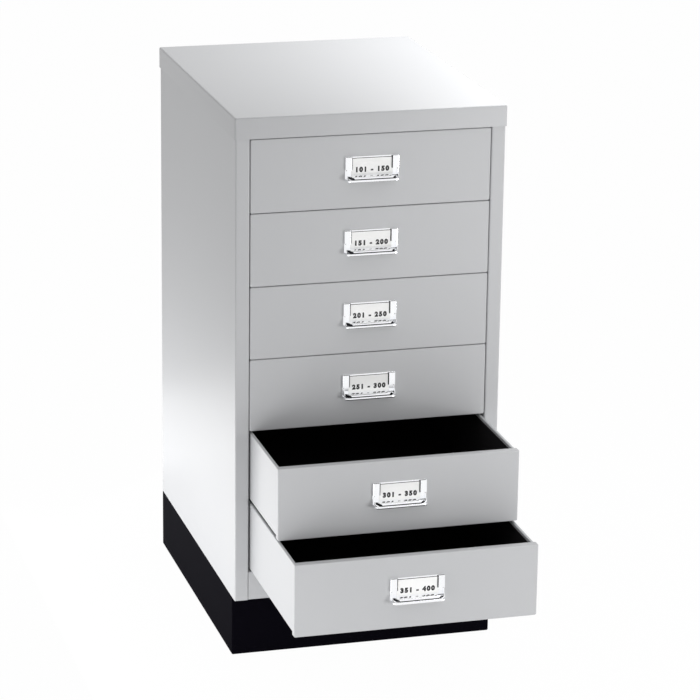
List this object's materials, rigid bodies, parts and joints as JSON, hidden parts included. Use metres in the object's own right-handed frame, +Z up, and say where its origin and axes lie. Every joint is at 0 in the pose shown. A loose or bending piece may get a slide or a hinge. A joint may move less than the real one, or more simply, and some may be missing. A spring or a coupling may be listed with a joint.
{
  "type": "drawer cabinet",
  "caption": "Slim free-standing steel office cabinet with equal shallow drawers, chromed card-holder pulls, a lipped top and a recessed black plinth.",
  "frame": {"origin": "middle of the cap's width and depth, on the floor", "axes": "+Z up, -Y is the side the drawers open towards, +X to the right of someone facing the drawers"},
  "size_m": [0.349, 0.67, 0.71],
  "materials": {
    "light_enamel": "light grey stoved enamel, satin, very fine texture",
    "tray_enamel": "light grey stoved enamel outside, black enamel inside",
    "black_enamel": "black stoved enamel, satin",
    "chrome": "bright chrome plate",
    "card": "white card",
    "zinc": "bright zinc plate",
    "nylon": "natural nylon"
  },
  "bodies": {
    "carcass": {"left_side": "light_enamel", "right_side": "light_enamel", "back_panel": "light_enamel", "bottom_panel": "light_enamel", "top_cap": "light_enamel", "top_rail": "light_enamel", "bottom_rail": "light_enamel", "left_runners": "zinc", "right_runners": "zinc", "front_glides": "nylon", "plinth": "black_enamel", "plinth_bolts": "zinc", "plinth_nuts": "zinc"},
    "drawer_1": {"drawer_1_tray": "tray_enamel", "drawer_1_front": "light_enamel", "drawer_1_pull": "chrome", "drawer_1_card": "card", "drawer_1_pull_nuts": "zinc", "drawer_1_rivets": "zinc", "drawer_1_rear_glides": "nylon"},
    "drawer_2": {"drawer_2_tray": "tray_enamel", "drawer_2_front": "light_enamel", "drawer_2_pull": "chrome", "drawer_2_card": "card", "drawer_2_pull_nuts": "zinc", "drawer_2_rivets": "zinc", "drawer_2_rear_glides": "nylon"},
    "drawer_3": {"drawer_3_tray": "tray_enamel", "drawer_3_front": "light_enamel", "drawer_3_pull": "chrome", "drawer_3_card": "card", "drawer_3_pull_nuts": "zinc", "drawer_3_rivets": "zinc", "drawer_3_rear_glides": "nylon"},
    "drawer_4": {"drawer_4_tray": "tray_enamel", "drawer_4_front": "light_enamel", "drawer_4_pull": "chrome", "drawer_4_card": "card", "drawer_4_pull_nuts": "zinc", "drawer_4_rivets": "zinc", "drawer_4_rear_glides": "nylon"},
    "drawer_5": {"drawer_5_tray": "tray_enamel", "drawer_5_front": "light_enamel", "drawer_5_pull": "chrome", "drawer_5_card": "card", "drawer_5_pull_nuts": "zinc", "drawer_5_rivets": "zinc", "drawer_5_rear_glides": "nylon"},
    "drawer_6": {"drawer_6_tray": "tray_enamel", "drawer_6_front": "light_enamel", "drawer_6_pull": "chrome", "drawer_6_card": "card", "drawer_6_pull_nuts": "zinc", "drawer_6_rivets": "zinc", "drawer_6_rear_glides": "nylon"}
  },
  "joints": [
    {"name": "drawer_1_slide", "type": "slide", "parent": "carcass", "child": "drawer_1", "axis": [0, -1, 0], "range_m": [0, 0.34]},
    {"name": "drawer_2_slide", "type": "slide", "parent": "carcass", "child": "drawer_2", "axis": [0, -1, 0], "range_m": [0, 0.34]},
    {"name": "drawer_3_slide", "type": "slide", "parent": "carcass", "child": "drawer_3", "axis": [0, -1, 0], "range_m": [0, 0.34]},
    {"name": "drawer_4_slide", "type": "slide", "parent": "carcass", "child": "drawer_4", "axis": [0, -1, 0], "range_m": [0, 0.34]},
    {"name": "drawer_5_slide", "type": "slide", "parent": "carcass", "child": "drawer_5", "axis": [0, -1, 0], "range_m": [-0.144, 0.196]},
    {"name": "drawer_6_slide", "type": "slide", "parent": "carcass", "child": "drawer_6", "axis": [0, -1, 0], "range_m": [-0.226, 0.114]}
  ]
}
